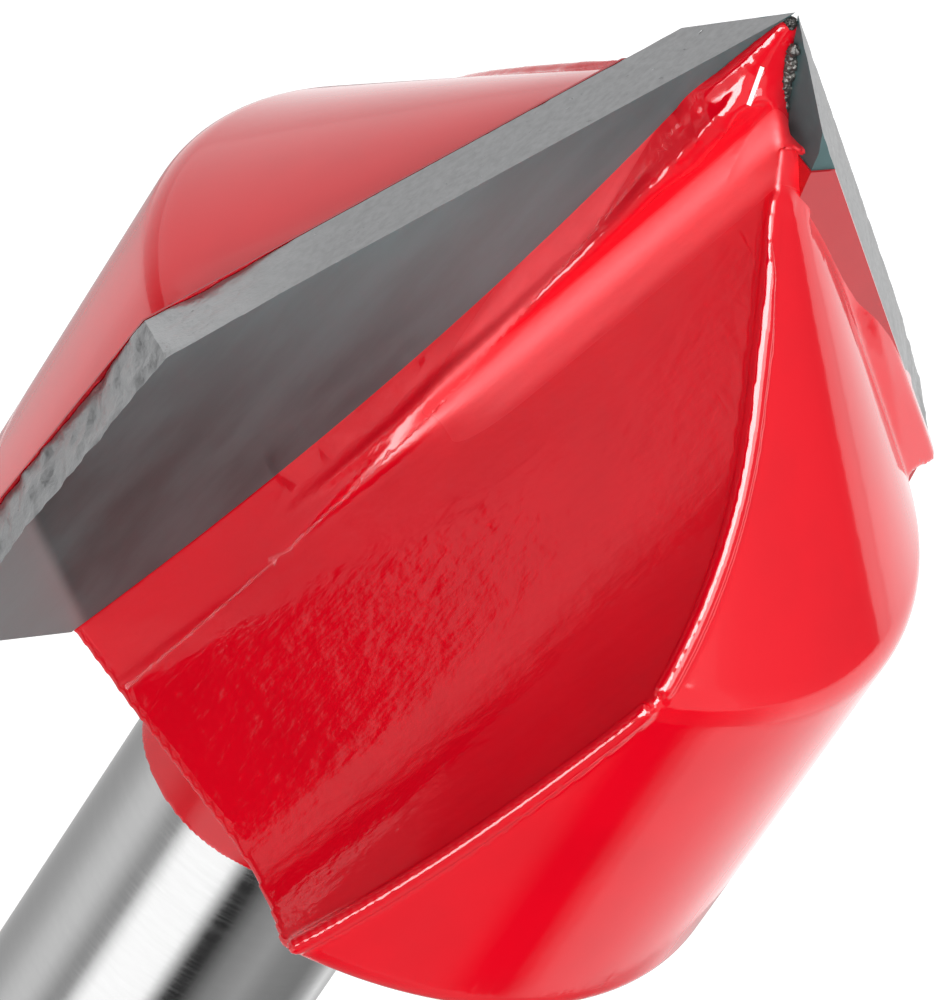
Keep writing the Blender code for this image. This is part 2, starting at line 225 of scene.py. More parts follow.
class EnamelLook(bpy.types.PropertyGroup):
    colour: FloatVectorProperty(
        name="Colour",
        description="Colour of the enamel",
        subtype="COLOR",
        size=3,
        min=0.0,
        max=1.0,
        default=(0.78, 0.001, 0.012),
    )
    gloss_roughness: FloatProperty(
        name="Roughness",
        description="How much the enamel blurs what it mirrors",
        default=0.08,
        min=0.0,
        max=1.0,
    )
    edge_height: FloatProperty(
        name="Edge height",
        description="Height on the shank at which the enamel ends",
        default=28.5 * MM,
        unit="LENGTH",
    )
    grain: FloatProperty(
        name="Skin grain",
        description="Mesh size of the enamel's skin",
        default=0.09 * MM,
        unit="LENGTH",
    )
    flow: IntProperty(
        name="Flow",
        description="How far the wet enamel rounded the edges under it",
        default=7,
        min=0,
    )
    bead_radius: FloatProperty(
        name="Bead radius",
        description="Radius of the beads of enamel along the edges",
        default=0.22 * MM,
        unit="LENGTH",
    )
    thickness: FloatProperty(
        name="Thickness",
        description="How far the enamel stands proud of the steel",
        default=0.04 * MM,
        unit="LENGTH",
    )


class SteelLook(bpy.types.PropertyGroup):
    colour: FloatVectorProperty(
        name="Colour",
        description="Colour of the ground steel",
        subtype="COLOR",
        size=3,
        min=0.0,
        max=1.0,
        default=(0.62, 0.62, 0.62),
    )
    gloss_roughness: FloatProperty(
        name="Roughness",
        description="How much the ground shank blurs what it mirrors",
        default=0.1,
        min=0.0,
        max=1.0,
    )


class CarbideLook(bpy.types.PropertyGroup):
    # Painted colour correction: the rake colour's cyan tint cancels the red light that the enamel bounces
    # onto the rake faces.
    rake_colour: FloatVectorProperty(
        name="Rake face",
        description="Colour of the rake faces",
        subtype="COLOR",
        size=3,
        min=0.0,
        max=1.0,
        default=(0.095, 0.172, 0.177),
    )
    flank_colour: FloatVectorProperty(
        name="Flank",
        description="Colour of the ground flanks and the raw sides",
        subtype="COLOR",
        size=3,
        min=0.0,
        max=1.0,
        default=(0.205, 0.207, 0.21),
    )
    grain: FloatProperty(
        name="Grain",
        description="Mesh size on the flanks and the raw sides",
        default=0.14 * MM,
        unit="LENGTH",
    )
    side_roughness: FloatProperty(
        name="Side relief",
        description="Height of the bumps on the raw sides",
        default=0.2 * MM,
        unit="LENGTH",
    )
    edge_wear: FloatProperty(
        name="Edge wear",
        description="Depth of the small nicks along the cutting edges",
        default=0.05 * MM,
        unit="LENGTH",
    )


class StageLook(bpy.types.PropertyGroup):
    floor_colour: FloatVectorProperty(
        name="Floor",
        description="Colour of the studio floor",
        subtype="COLOR",
        size=3,
        min=0.0,
        max=1.0,
        default=(0.8, 0.8, 0.8),
    )
    key_strength: FloatProperty(
        name="Key lamp", description="Brightness of the key lamp's face", default=5.5, min=0.0
    )
    low_strength: FloatProperty(
        name="Low lamp", description="Brightness of the low front lamp's face", default=6.5, min=0.0
    )
    fill_strength: FloatProperty(
        name="Fill lamp", description="Brightness of the fill lamp's face", default=1.5, min=0.0
    )
    sky_strength: FloatProperty(
        name="Room light", description="Strength of the light from all round", default=0.45, min=0.0
    )


def only(*objects):
    """Selects these objects alone, with the first one active."""
    if bpy.context.object and bpy.context.object.mode != "OBJECT":
        bpy.ops.object.mode_set(mode="OBJECT")
    bpy.ops.object.select_all(action="DESELECT")
    for obj in objects:
        obj.select_set(True)
    bpy.context.view_layer.objects.active = objects[0]


@contextmanager
def editing(select="SELECT"):
    """Edit mode for the lines inside, after this select_all action if there is one."""
    bpy.ops.object.mode_set(mode="EDIT")
    if select:
        bpy.ops.mesh.select_all(action=select)
    yield
    bpy.ops.object.mode_set(mode="OBJECT")


def apply_modifier(obj, kind, **settings):
    """Adds a modifier with these settings and applies it."""
    only(obj)
    modifier = obj.modifiers.new(kind.title(), kind)
    for name, value in settings.items():
        setattr(modifier, name, value)
    bpy.ops.object.modifier_apply(modifier=modifier.name)


def primitive(name, add, **settings):
    """A named object that starts as a primitive."""
    bpy.ops.object.select_all(action="DESELECT")
    add(**settings)
    bpy.context.object.name = name
    return bpy.context.object


def node_copy(node, name):
    """A new piece that starts as a merged copy of a CAD node's mesh."""
    piece = bpy.data.objects.new(name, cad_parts[node].data.copy())
    piece.data.name = name
    piece.data.materials.clear()
    bpy.context.scene.collection.objects.link(piece)
    only(piece)
    with editing():
        bpy.ops.mesh.remove_doubles(threshold=MERGE_DISTANCE)
        bpy.ops.mesh.customdata_custom_splitnormals_clear()
    return piece


def points_of(piece):
    """The piece's points, as rows of x, y and z."""
    points = np.empty(len(piece.data.vertices) * 3)
    piece.data.vertices.foreach_get("co", points)
    return points.reshape(-1, 3)


def set_points(piece, points):
    piece.data.vertices.foreach_set("co", points.ravel())
    piece.data.update()


def placed(points, matrix):
    """Rows of points after this matrix."""
    matrix = np.array(matrix)
    return points @ matrix[:3, :3].T + matrix[:3, 3]


def in_rake_frame(points, side):
    """The points' (u, v, w) in a plate's rake frame."""
    return placed(points, RAKE_FRAMES[side].inverted())


def from_rake_frame(local, side):
    """The points of the part at these (u, v, w) of a plate's rake frame."""
    return placed(local, RAKE_FRAMES[side])


def ease(value, start, end):
    """Runs smoothly from 0 at start to 1 at end, for numbers or arrays."""
    t = np.clip((value - start) / (end - start), 0.0, 1.0)
    return t * t * (3 - 2 * t)


def seat_piece(piece, slot, *nodes):
    """The piece rides on the part's one body and stands for CAD nodes, which it hides; its finish slot is not
    used.
    """
    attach(piece, "root")
    if nodes:
        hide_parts(*nodes)


class Socket:
    """An output socket that adds Math nodes where it is used in an expression."""

    def __init__(self, finish, output):
        self.finish = finish
        self.output = output

    def maths(self, operation, *values):
        inputs = dict(enumerate(values))
        return self.finish.node("ShaderNodeMath", {"operation": operation}, inputs)

    def __add__(self, other):
        return self.maths("ADD", self, other)

    def __sub__(self, other):
        return self.maths("SUBTRACT", self, other)

    def __rsub__(self, other):
        return self.maths("SUBTRACT", other, self)

    def __mul__(self, other):
        return self.maths("MULTIPLY", self, other)

    __radd__ = __add__
    __rmul__ = __mul__

    def named(self, name):
        """Another output of the same node."""
        return Socket(self.finish, self.output.node.outputs[name])

    def between(self, low, high):
        """0 below low, 1 above high, smooth in between."""
        settings = {"interpolation_type": "SMOOTHSTEP"}
        inputs = {"Value": self, "From Min": low, "From Max": high}
        return self.finish.node("ShaderNodeMapRange", settings, inputs)


class Finish:
    """The nodes of a material or a world under construction, with one method that adds any node."""

    def __init__(self, owner):
        owner.use_nodes = True
        self.owner = owner
        self.tree = owner.node_tree
        self.tree.nodes.clear()

    def node(self, kind, settings=None, inputs=None):
        """The first output of a new node, which gets its settings first and then its inputs."""
        made = self.tree.nodes.new(kind)
        for name, value in (settings or {}).items():
            if name == "stops":
                self.set_stops(made.color_ramp, value)
            else:
                setattr(made, name, value)
        for name, value in (inputs or {}).items():
            if isinstance(value, Socket):
                self.tree.links.new(value.output, made.inputs[name])
            else:
                made.inputs[name].default_value = value
        return Socket(self, made.outputs[0]) if made.outputs else made

    @staticmethod
    def set_stops(ramp, stops):
        while len(ramp.elements) < len(stops):
            ramp.elements.new(1.0)
        for element, (position, rgb) in zip(ramp.elements, stops):
            element.position = position
            element.color = (*rgb, 1.0)

    def millimetres(self):
        """Object coordinates in millimetres."""
        place = self.node("ShaderNodeTexCoord").named("Object")
        return self.node("ShaderNodeVectorMath", {"operation": "SCALE"}, {0: place, "Scale": 1 / MM})

    def in_plate(self, side):
        """Millimetres along a plate's own u, v and w."""
        matrix = RAKE_FRAMES[side].inverted()
        inputs = {
            "Vector": self.millimetres(),
            "Location": matrix.translation / MM,
            "Rotation": matrix.to_euler(),
        }
        return self.node("ShaderNodeMapping", {"vector_type": "POINT"}, inputs)

    def stretched(self, place, scale):
        """A place whose three axes are scaled by these numbers."""
        return self.node("ShaderNodeVectorMath", {"operation": "MULTIPLY"}, {0: place, 1: scale})

    def axes(self, place):
        """The X, Y and Z of a place."""
        parts = self.node("ShaderNodeSeparateXYZ", None, {0: place})
        return parts, parts.named("Y"), parts.named("Z")

    def noise(self, place, scale, detail=3.0, rough=0.5):
        inputs = {"Vector": place, "Scale": scale, "Detail": detail, "Roughness": rough}
        return self.node("ShaderNodeTexNoise", None, inputs)

    def mix(self, factor, first, second):
        """A colour between two colours."""
        inputs = {0: factor, 6: first, 7: second}
        made = self.node("ShaderNodeMix", {"data_type": "RGBA"}, inputs)
        return Socket(self, made.output.node.outputs[2])

    def bump(self, height, distance):
        """A bump whose height of 1 stands this many metres proud."""
        inputs = {"Height": height, "Distance": distance, "Strength": 1.0}
        return self.node("ShaderNodeBump", None, inputs)

    def glow(self, strength):
        """White light of this strength."""
        return self.node("ShaderNodeEmission", None, {"Color": WHITE, "Strength": strength})

    def done(self, shader, output="ShaderNodeOutputMaterial"):
        """Ends the nodes in this shader, and returns the material or world."""
        self.node(output, None, {"Surface": shader})
        return self.owner

    def surface(self, **inputs):
        """Ends the nodes in the usual shader, with a _ for each space in the names of its sockets."""
        inputs = {name.replace("_", " "): value for name, value in inputs.items()}
        return self.done(self.node("ShaderNodeBsdfPrincipled", None, inputs))


def new_finish(name):
    """The empty nodes of a new material."""
    return Finish(bpy.data.materials.new(name))


def colour(rgb, times=1.0):
    """A socket's colour, made darker or lighter."""
    return (*(channel * times for channel in rgb), 1.0)


def enamel_finish(look, name="red_enamel", shade=1.0):
    """Glossy enamel with streaks along the flutes, pebbles, slow waves and a duller strip by the ledge; a
    shade below 1 darkens its colour as painted shade.
    """
    finish = new_finish(name)
    place = finish.millimetres()
    flute = finish.node("ShaderNodeAttribute", {"attribute_name": "flute"}).named("Vector")
    milled = finish.node("ShaderNodeAttribute", {"attribute_name": "milled"}).named("Fac")
    streaks = finish.noise(finish.stretched(flute, (2.6, 2.6, 0.6)), 1.3, detail=2.0)
    pebbles = finish.noise(place, 5.5, rough=0.55)
    waves = finish.noise(place, 0.9, detail=2.0)
    height = streaks * milled * 2.6 + pebbles * (milled * 0.38 + 0.1) + waves * 1.2
    patches = finish.noise(place, 0.35, detail=2.0).between(0.35, 0.75)
    _, off, along = finish.axes(flute)
    dull = off.between(1.08, 1.2) * (1 - off.between(2.2, 3.0)) * along.between(-16.0, -12.0)
    return finish.surface(
        Base_Color=finish.mix(patches, colour(look.colour, shade), colour(look.colour, 0.93 * shade)),
        Roughness=dull * 0.42 + look.gloss_roughness,
        Normal=finish.bump(height, ENAMEL_RIPPLE),
    )


def steel_finish(look):
    """Ground steel with fine rings round the shank and a little chatter."""
    finish = new_finish("ground_steel")
    place = finish.millimetres()
    rings = finish.noise(finish.stretched(place, (0.25, 0.25, 14.0)), 1.0, detail=4.0, rough=0.65)
    fine_rings = finish.noise(finish.stretched(place, (0.6, 0.6, 40.0)), 1.0, detail=2.0)
    chatter = finish.noise(finish.stretched(place, (1.2, 1.2, 5.0)), 1.0, rough=0.6)
    height = rings * 0.5 + fine_rings * 0.3 + chatter * 1.6
    return finish.surface(
        Base_Color=finish.mix(chatter, colour(look.colour, 0.93), colour(look.colour)),
        Metallic=1.0,
        Roughness=rings.between(0.3, 0.7) * 0.08 + look.gloss_roughness,
        Normal=finish.bump(height, STEEL_SCRATCH),
    )


def rake_finish(look, side):
    """Ground carbide with painted shade that darkens it towards the shank and near the point, and a painted
    highlight on its lower outer corner.
    """
    finish = new_finish(f"ground_rake_{side}")
    place = finish.in_plate(side)
    out, _, up = finish.axes(place)
    lay = finish.noise(finish.stretched(place, (14.0, 1.0, 0.7)), 1.0, detail=4.0, rough=0.6)
    stains = finish.noise(finish.stretched(place, (0.5, 1.0, 0.18)), 1.0, detail=4.0, rough=0.6)
    height = lay * 0.5 + finish.noise(place, 9.0, detail=2.0) * 0.2
    # Painted shade: the rake face darkens towards the shank and again near the point.
    painted_light_towards_point, tip = up.between(-19.0, -6.0), up.between(-7.5, -3.0)
    tone = painted_light_towards_point * 0.65 + stains.between(0.3, 0.7) * 0.2 + lay * 0.15 - tip * 0.25
    face = finish.mix(tone, colour(look.rake_colour, 0.15), colour(look.rake_colour, 1.15))
    # Painted highlight: the lower outer corner is paled towards the flank colour.
    corner = (out - up).between(31.1, 31.7)
    return finish.surface(
        Base_Color=finish.mix(corner * 0.65, face, colour(look.flank_colour)),
        Metallic=0.0,
        IOR=1.35,
        Specular_Tint=(0.4, 0.9, 0.9, 1.0),
        Roughness=lay * 0.12 + 0.36,
        Normal=finish.bump(height, RAKE_SCRATCH),
    )


def flank_finish(look, side):
    """Carbide flanks: ground and pitted near the point, with painted shade in the pits, paler and crusty
    along the raw side.
    """
    finish = new_finish(f"ground_flank_{side}")
    place = finish.in_plate(side)
    _, _, up = finish.axes(place)
    raw = 1 - up.between(-12.5, -9.0)
    lay = finish.noise(finish.stretched(place, (1.5, 7.0, 6.0)), 1.0, detail=4.0, rough=0.6)
    pits = finish.noise(finish.stretched(place, (2.2, 6.0, 2.2)), 1.6, rough=0.6).between(0.66, 0.76)
    crust = finish.noise(place, 2.6, detail=5.0, rough=0.62)
    tone = lay.between(0.25, 0.75)
    ground = finish.mix(tone, colour(look.flank_colour, 0.85), colour(look.flank_colour, 1.1))
    face = finish.mix(raw * 0.7, ground, colour(look.flank_colour, 1.5))
    height = lay * 0.4 + (1 - pits) * 1.2 + crust * (raw * 5.0 + 0.6)
    return finish.surface(
        # Painted shade: the pits are darkened to a quarter of the flank colour.
        Base_Color=finish.mix(pits * 0.6, face, colour(look.flank_colour, 0.25)),
        Metallic=0.85,
        Roughness=tone * 0.12 + 0.3,
        Normal=finish.bump(height, FLANK_SCRATCH),
    )


def braze_finish():
    """Dark, crusty braze with grey flecks."""
    finish = new_finish("braze_alloy")
    crust = finish.noise(finish.millimetres(), 6.0, detail=5.0, rough=0.65)
    dark, grey = (0.02, 0.017, 0.015, 1.0), (0.1, 0.095, 0.085, 1.0)
    return finish.surface(
        Base_Color=finish.mix(crust.between(0.5, 0.66), dark, grey),
        Metallic=0.2,
        Roughness=0.5,
        Normal=finish.bump(crust, BRAZE_CRUST),
    )


def outline_radius(height):
    """The turned outline's radius over the drum and the cone."""
    return DRUM_RADIUS - np.maximum(height - DRUM_TOP, 0.0) * math.tan(CONE_HALF_ANGLE)


def mark_flutes(piece):
    """Stores each point's place in its own flute, and how far inside the turned outline it is milled."""
    points = points_of(piece)
    front = points[:, 1] > 0
    flute = np.where(front[:, None], in_rake_frame(points, "left"), in_rake_frame(points, "right"))
    inside = outline_radius(points[:, 2]) - np.hypot(points[:, 0], points[:, 1])
    milled = ease(inside, *MILLED_DEPTHS) * (points[:, 2] > MILLED_LOW)
    data = piece.data.attributes.new("flute", "FLOAT_VECTOR", "POINT").data
    data.foreach_set("vector", (flute / MM).ravel())
    data = piece.data.attributes.new("milled", "FLOAT", "POINT").data
    data.foreach_set("value", milled)


def lap_onto_plates(piece):
    """The enamel runs up to the plates' inner edges and closes the gap beside the braze."""
    points = points_of(piece)
    for side in SIDES:
        local = in_rake_frame(points, side)
        out, off, up = local.T.copy()
        beside = (off > EDGE_LAP_RISE[0]) & (off < EDGE_LAP_FALL[1]) & (out > 0)
        beside &= (out < EDGE_LAP_REACH) & (up < -EDGE_LAP_TOP)
        lap = (EDGE_LAP + POINT_LAP * (1 - ease(-up, *POINT_LAP_FADE))) * MM
        lift = ease(off, *EDGE_LAP_RISE) * (1 - ease(off, *EDGE_LAP_FALL))
        local[:, 0] += np.where(beside, lap * lift, 0.0)
        behind = (off > BACK_LAP_RISE[0]) & (off < BACK_LAP_END) & (out > BACK_LAP_INNER)
        behind &= (up < -PAD_TOP) & (up > -BACK_LAP_LOW)
        local[:, 1] += np.where(behind, BACK_LAP * ease(off, *BACK_LAP_RISE), 0.0)
        points = np.where((beside | behind)[:, None], from_rake_frame(local, side), points)
    set_points(piece, points)


def grind_pads(piece):
    """Grinds the left pad until its plate hides it, and blends the right one's top into the cone."""
    points = points_of(piece)
    radius = np.hypot(points[:, 0], points[:, 1])
    proud = radius - outline_radius(points[:, 2])
    on_head = (points[:, 2] < PAD_HIGH) & (points[:, 2] > HEAD_REAR)
    for side in SIDES:
        out, off, up = in_rake_frame(points, side).T
        share = LEFT_PAD_GROUND
        if side == "right":
            share = RIGHT_PAD_GROUND * (1 - ease(-up, *RIGHT_PAD_BLEND))
        on_pad = (out > 0) & (off < PAD_FRONT) & (off > PAD_BACK)
        scale = np.where(on_pad & (proud > 0) & on_head, 1 - share * proud / radius, 1.0)
        points[:, :2] *= scale[:, None]
    set_points(piece, points)


def ragged_edge(piece, height):
    """The enamel ends on the shank in a slightly wavy line."""
    points = points_of(piece)
    top = height + RAGGED_HEIGHT
    for i in np.flatnonzero(points[:, 2] < top):
        place = Vector((points[i, 0], points[i, 1], 0.0)) * WAVES_PER_METRE
        share = 1.0 - float(ease(points[i, 2], height, top))
        points[i, 2] += noise.noise(place) * RAGGED_WAVE * share
    set_points(piece, points)


def enamel_bed(side):
    """A block mostly inside the plate that carries the enamel across the bedding gap behind it."""
    top_inset, front_inset, back_inset, inner_inset = 0.1 * MM, 0.25 * MM, 0.12 * MM, 0.13 * MM
    bed = node_copy(f"carbide_plate_{side}", f"bed_{side}")
    upward = Vector(RAKE_FRAMES[side].to_3x3().col[2])
    cut = {"plane_co": POINT - upward * (PAD_TOP + top_inset), "plane_no": upward}
    with editing():
        bpy.ops.mesh.bisect(use_fill=True, clear_outer=True, **cut)
    local = in_rake_frame(points_of(bed), side)
    share = -local[:, 1] / PLATE_THICKNESS
    outer = local[:, 0] > (np.minimum(-local[:, 2], PLATE_HIGH.x) + SEAT_WALL) / 2
    raw = ease(-local[:, 2], 7 * MM, 10 * MM)
    outer_inset = (0.4 - share * 0.2 + raw * 0.15) * MM
    local[:, 0] -= np.where(outer, outer_inset, inner_inset)
    local[:, 1] = -front_inset - share * (PLATE_THICKNESS - back_inset)
    set_points(bed, from_rake_frame(local, side))
    return bed


def looking(direction):
    """The turn of what looks in this direction with its top up."""
    return direction.to_track_quat("-Z", "Y").to_matrix().to_4x4()


def cut_slit(head):
    """The narrow slit through the thin web under the point, where the two flutes just meet."""
    cutter = primitive("slit_cutter", bpy.ops.mesh.primitive_cube_add, size=1.0)
    turn = looking(-(CAMERA_PLACE - SLIT_CENTRE).normalized())
    lean = Matrix.Rotation(CAMERA_ROLL + SLIT_LEAN, 4, "Z")
    size = Matrix.Diagonal((*SLIT_SIZE, 1.0))
    cutter.matrix_world = Matrix.Translation(SLIT_CENTRE) @ turn @ lean @ size
    apply_modifier(head, "BOOLEAN", operation="DIFFERENCE", solver="EXACT", object=cutter)
    bpy.data.objects.remove(cutter)


def is_flute_edge(edge, mesh, normals):
    """Whether an edge of the milled head is one where a flute runs out on the turned outline."""
    middle = (mesh.vertices[edge.vertices[0]].co + mesh.vertices[edge.vertices[1]].co) / 2
    u, v, _ = RAKE_FRAMES["left" if middle.y > 0 else "right"].inverted() @ middle
    first, second = normals[tuple(sorted(edge.vertices))]
    inside = float(outline_radius(middle.z)) - math.hypot(middle.x, middle.y)
    on_outline = abs(inside) < OUTLINE_REACH and BEAD_LOW < middle.z < BEAD_HIGH
    in_flute = v > BEAD_OFF_PLATE and u > BEAD_INNER_END
    return on_outline and in_flute and first.angle(second, 0.0) > SHARP_ANGLE


def flute_beads(look):
    """The enamel that gathered as it dried along the edge of each flute."""
    beads = node_copy(BODY, "flute_beads")
    mesh = beads.data
    normals = {}
    for polygon in mesh.polygons:
        for key in polygon.edge_keys:
            normals.setdefault(key, []).append(polygon.normal)
    edges = [edge.index for edge in mesh.edges if is_flute_edge(edge, mesh, normals)]
    with editing(select=None):
        bpy.ops.mesh.select_mode(type="EDGE")
        bpy.ops.mesh.select_all(action="DESELECT")
    for index in edges:
        mesh.edges[index].select = True
    with editing("INVERT"):
        bpy.ops.mesh.delete(type="EDGE")
        bpy.ops.mesh.select_mode(type="VERT")
    bpy.ops.object.convert(target="CURVE")
    return round_bar(beads, look.bead_radius)


def ledge_bead(side, look):
    """The fatter bead on the ledge beside a plate, which thins out towards the shank."""
    path = bpy.data.curves.new(f"ledge_bead_{side}", "CURVE")
    path.dimensions = "3D"
    spline = path.splines.new("POLY")
    spline.points.add(len(LEDGE_BEAD) - 1)
    for point, (place, size) in zip(spline.points, LEDGE_BEAD):
        point.co = (*(RAKE_FRAMES[side] @ (Vector(place) * MM)), 1.0)
        point.radius = size
    bead = bpy.data.objects.new(path.name, path)
    bpy.context.scene.collection.objects.link(bead)
    return round_bar(bead, look.bead_radius)


def round_bar(path, radius):
    """Turns a path into a round bar of this radius."""
    path.data.bevel_depth = radius
    path.data.bevel_resolution = 3
    path.data.use_fill_caps = True
    only(path)
    bpy.ops.object.convert(target="MESH")
    return path


def enamel_head(look):
    """The enamelled head: steel, beds and beads as one skin that flows, swells and laps onto the plates."""
    head = node_copy(BODY, "enamel_head")
    plane = {"plane_co": (0.0, 0.0, look.edge_height), "plane_no": (0.0, 0.0, 1.0)}
    with editing():
        bpy.ops.mesh.bisect(use_fill=True, clear_inner=True, **plane)
    beds = [enamel_bed(side) for side in SIDES]
    beads = [flute_beads(look), *(ledge_bead(side, look) for side in SIDES)]
    only(head, *beds, *beads)
    bpy.ops.object.join()
    grind_pads(head)
    apply_modifier(head, "REMESH", mode="VOXEL", voxel_size=look.grain, adaptivity=0.0)
    apply_modifier(head, "SMOOTH", factor=0.5, iterations=look.flow)
    grind_pads(head)
    apply_modifier(head, "DECIMATE", ratio=MOST_TRIANGLES / (2 * len(head.data.polygons)))
    only(head)
    with editing():
        bpy.ops.transform.shrink_fatten(value=look.thickness)
    lap_onto_plates(head)
    ragged_edge(head, look.edge_height)
    cut_slit(head)
    mark_flutes(head)
    bpy.ops.object.shade_smooth()
    head.data.materials.append(enamel_finish(look))
    seat_piece(head, "red_enamel", BODY)


def ground_shank(steel, enamel):
    """The bare shank, turned up from a filled circle, with its end chamfer."""
    foot = SHANK_RADIUS - SHANK_CHAMFER
    wider = SHANK_RADIUS / foot
    chamfer = (0.0, 0.0, SHANK_CHAMFER)
    rest = (0.0, 0.0, enamel.edge_height + SHANK_OVERLAP - SHANK_CHAMFER)
    circle = {"vertices": SHANK_SIDES, "radius": foot, "fill_type": "NGON"}
    shank = primitive("ground_shank", bpy.ops.mesh.primitive_circle_add, **circle)
    with editing():
        bpy.ops.mesh.extrude_region_move(TRANSFORM_OT_translate={"value": chamfer})
        bpy.ops.transform.resize(value=(wider, wider, 1.0), center_override=chamfer)
        bpy.ops.mesh.extrude_region_move(TRANSFORM_OT_translate={"value": rest})
        bpy.ops.mesh.select_all(action="SELECT")
        bpy.ops.mesh.normals_make_consistent(inside=False)
    apply_modifier(shank, "BEVEL", width=SHANK_EDGE_ROUND, segments=3, limit_method="ANGLE")
    only(shank)
    bpy.ops.object.shade_smooth_by_angle(angle=SHANK_SHARP_ANGLE)
    shank.data.materials.append(steel_finish(steel))
    seat_piece(shank, "ground_steel", BODY)


def slice_faces(piece, wanted, cuts):
    """Cuts the faces that the test picks at each (place, normal) plane."""
    only(piece)
    with editing(select=None):
        bpy.ops.mesh.select_mode(type="FACE")
        bpy.ops.mesh.select_all(action="DESELECT")
    for polygon in piece.data.polygons:
        polygon.select = wanted(polygon.center, polygon.normal)
    with editing(select=None):
        bpy.ops.mesh.hide(unselected=True)
        for place, normal in cuts:
            bpy.ops.mesh.select_all(action="SELECT")
            bpy.ops.mesh.bisect(plane_co=place, plane_no=normal)
        bpy.ops.mesh.reveal()
        bpy.ops.mesh.select_mode(type="VERT")


def carbide_plate(side, look):
    """A plate with flat ground faces, whose flank and raw side are sliced fine and roughened."""
    plate = node_copy(f"carbide_plate_{side}", f"carbide_tip_{side}")
    outward, rake_normal, _ = (Vector(axis) for axis in RAKE_FRAMES[side].to_3x3().col)
    upright = Vector((0.0, 0.0, 1.0))
    with editing():
        bpy.ops.mesh.dissolve_limited(angle_limit=FLAT_ANGLE)

    def is_outer(centre, normal):
        """Whether a face is on the flank or the raw side."""
        return abs(normal.dot(rake_normal)) < 0.8 and normal.dot(outward) > 0.2

    levels = np.arange(PLATE_LOW.z + look.grain, PLATE_HIGH.z, look.grain)
    layers = np.arange(look.grain, PLATE_THICKNESS, look.grain)
    cuts = [((0.0, 0.0, level), upright) for level in levels]
    cuts += [(POINT - rake_normal * layer, rake_normal) for layer in layers]
    slice_faces(plate, is_outer, cuts)
    roughen_outer(plate, side, look, is_outer)
    plate.data.materials.append(rake_finish(look, side))
    plate.data.materials.append(flank_finish(look, side))
    for polygon in plate.data.polygons:
        polygon.material_index = int(is_outer(polygon.center, polygon.normal))
    only(plate)
    bpy.ops.object.shade_smooth_by_angle(angle=SHARP_ANGLE)
    seat_piece(plate, "sintered_carbide", f"carbide_plate_{side}")


def roughen_outer(plate, side, look, is_outer):
    """Raises and pits the raw side, and nicks the cutting edge a little."""
    mesh = plate.data
    faces = [polygon for polygon in mesh.polygons if is_outer(polygon.center, polygon.normal)]
    inward = -Vector(RAKE_FRAMES[side].to_3x3().col[0])
    for index in {index for polygon in faces for index in polygon.vertices}:
        vertex = mesh.vertices[index]
        local = RAKE_FRAMES[side].inverted() @ vertex.co
        seed = local / MM
        raw = float(ease(-local.z, *RAW_START)) * (1.0 - 0.5 * float(ease(-local.z, *RAW_CALM)))
        lumps = 0.75 + 0.8 * noise.noise(seed * 0.55) + 0.5 * noise.noise(seed * 1.4)
        lumps += 0.3 * noise.noise(seed * 3.1)
        nicks = max(noise.noise(seed * 1.7) - 0.1, 0.0) + 0.5 * max(noise.noise(seed * 4.0), 0.0)
        depth = raw * look.side_roughness * max(lumps, 0.0) + (1 - raw) * look.edge_wear * nicks
        vertex.co += inward * min(depth, DEEPEST_PIT)
    mesh.update()


def residue_lump(radius, place):
    """One lump of braze, with its place in its mesh."""
    add = bpy.ops.mesh.primitive_ico_sphere_add
    lump = primitive("residue_lump", add, subdivisions=3, radius=radius)
    with editing():
        bpy.ops.transform.translate(value=place)
    return lump


def braze_residue(side):
    """A crusty run of braze and flux left where the web meets the plate, up to the point."""
    noise.seed_set(RESIDUE_SEED)
    lumps = []
    for share in np.linspace(0.0, 1.0, RESIDUE_LUMPS):
        wobble = noise.noise_vector(Vector((share * RESIDUE_WOBBLE, 3.0, 1.0)))
        local = Vector([top + run * share for top, run in zip(RESIDUE_TOP, RESIDUE_RUN)]) * MM
        place = RAKE_FRAMES[side] @ (local + wobble * RESIDUE_SPREAD * MM)
        lumps.append(residue_lump((RESIDUE_RADIUS + RESIDUE_VARIATION * wobble.x) * MM, place))
    below_point = POINT - Vector((0.0, 0.0, POINT_LUMP_DROP * MM))
    residue = residue_lump(POINT_LUMP_RADIUS * MM, below_point)
    only(residue, *lumps)
    bpy.ops.object.join()
    residue.name = f"braze_residue_{side}"
    apply_modifier(residue, "REMESH", mode="VOXEL", voxel_size=RESIDUE_GRAIN * MM, adaptivity=0.0)
    apply_modifier(residue, "SMOOTH", factor=0.5, iterations=3)
    dimension, lacunarity, octaves = 0.8, 2.0, 3
    for vertex in residue.data.vertices:
        crust = noise.fractal(vertex.co / MM * 9.0, dimension, lacunarity, octaves)
        vertex.co += vertex.normal * crust * RESIDUE_CRUST * MM
    residue.data.update()
    only(residue)
    bpy.ops.object.shade_smooth()
    return residue


class ROUTERBIT_OT_enamel_head(bpy.types.Operator):
    """Lay thick red enamel over the milled head, down to its edge on the shank"""

    bl_idname = "routerbit.enamel_head"
    bl_label = "Enamel head"

    def execute(self, context):
        enamel_head(context.scene.routerbit_enamel)
        return {"FINISHED"}


class ROUTERBIT_OT_ground_shank(bpy.types.Operator):
    """Turn the bare ground shank with its end chamfer"""

    bl_idname = "routerbit.ground_shank"
    bl_label = "Ground shank"

    def execute(self, context):
        ground_shank(context.scene.routerbit_steel, context.scene.routerbit_enamel)
        return {"FINISHED"}


class ROUTERBIT_OT_carbide_plates(bpy.types.Operator):
    """Shape the two carbide plates with their ground faces and raw sides"""

    bl_idname = "routerbit.carbide_plates"
    bl_label = "Carbide plates"

    def execute(self, context):
        for side in SIDES:
            carbide_plate(side, context.scene.routerbit_carbide)
        return {"FINISHED"}


